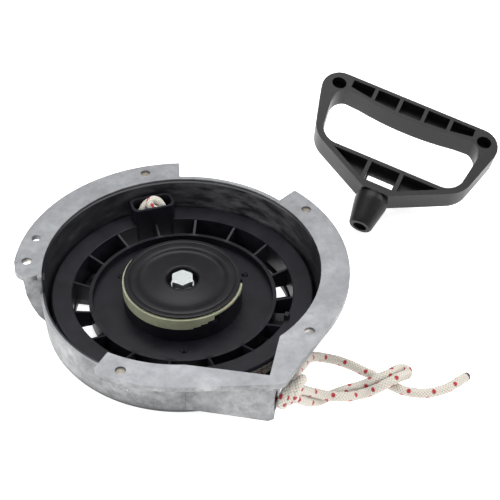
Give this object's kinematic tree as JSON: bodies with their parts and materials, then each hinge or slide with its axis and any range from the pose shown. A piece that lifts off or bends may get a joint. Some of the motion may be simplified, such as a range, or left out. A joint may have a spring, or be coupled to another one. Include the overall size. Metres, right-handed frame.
{
  "type": "recoil starter",
  "caption": "Recoil starter for a small engine: cast flanged housing, spring-driven rope reel, pawl and lock plate, knotted pull rope and a loose handle.",
  "frame": {"origin": "centre of the mounting bolt circle, on the flange's mounting face", "axes": "+Z along the reel axis out of the open engine side, +X to the right and +Y away from the viewer as the picture sees it"},
  "size_m": [0.3602, 0.3172, 0.076],
  "materials": {
    "cast_aluminium": "bare as-cast, mottled",
    "guide_plastic": "smooth",
    "plain_steel": "ground",
    "spring_steel": "blued and oiled",
    "washer_brass": "smooth",
    "reel_plastic": "moulded, slight sheen",
    "guide_plate_steel": "blackened",
    "pin_plastic": "moulded",
    "rope": "braided",
    "pawl_nylon": "natural nylon",
    "spring_wire": "drawn wire",
    "lock_plate_black": "satin",
    "zinc_plate": "bright zinc",
    "melted_tip": "melted",
    "handle_plastic": "moulded"
  },
  "bodies": {
    "housing": {"starter_housing": "cast_aluminium", "rope_guide_bushing": "guide_plastic", "spring_anchor_pin": "plain_steel", "recoil_spring": "spring_steel", "reel_thrust_washer": "washer_brass", "step_collar": "plain_steel", "friction_spring": "spring_wire", "flat_washer": "zinc_plate", "centre_bolt": "zinc_plate", "rope_outlet_run": "rope", "rope_stop_knot": "rope", "rope_bight": "rope", "rope_tail": "rope", "rope_melted_tip": "melted_tip"},
    "reel": {"reel": "reel_plastic", "spring_guide": "guide_plate_steel", "guide_snap_pins": "pin_plastic", "rope_winding": "rope", "reel_rope_knot": "rope", "pawl_pin": "plain_steel", "pawl_return_spring": "spring_wire"},
    "lock_plate": {"pawl_lock_plate": "lock_plate_black"},
    "pawl": {"pawl": "pawl_nylon"},
    "handle": {"pull_handle": "handle_plastic"}
  },
  "joints": [
    {"name": "reel_spin", "type": "hinge", "parent": "housing", "child": "reel", "pos_m": [0, 0, -0.03], "axis": [0, 0, 1], "range_deg": [0, 1440]},
    {"name": "plate_lag", "type": "hinge", "parent": "reel", "child": "lock_plate", "pos_m": [0, 0, -0.016], "axis": [0, 0, 1], "range_deg": [-30, 0]},
    {"name": "pawl_swing", "type": "hinge", "parent": "reel", "child": "pawl", "pos_m": [-0.03619, 0.00769, -0.018], "axis": [0, 0, 1], "range_deg": [-8, 0]},
    {"name": "handle_lift", "type": "slide", "parent": "housing", "child": "handle", "axis": [0, 0, 1], "range_m": [0, 0.1]}
  ],
  "couplings": [
    {"joint": "pawl_swing", "follows": "plate_lag", "ratio": 0.2666}
  ]
}
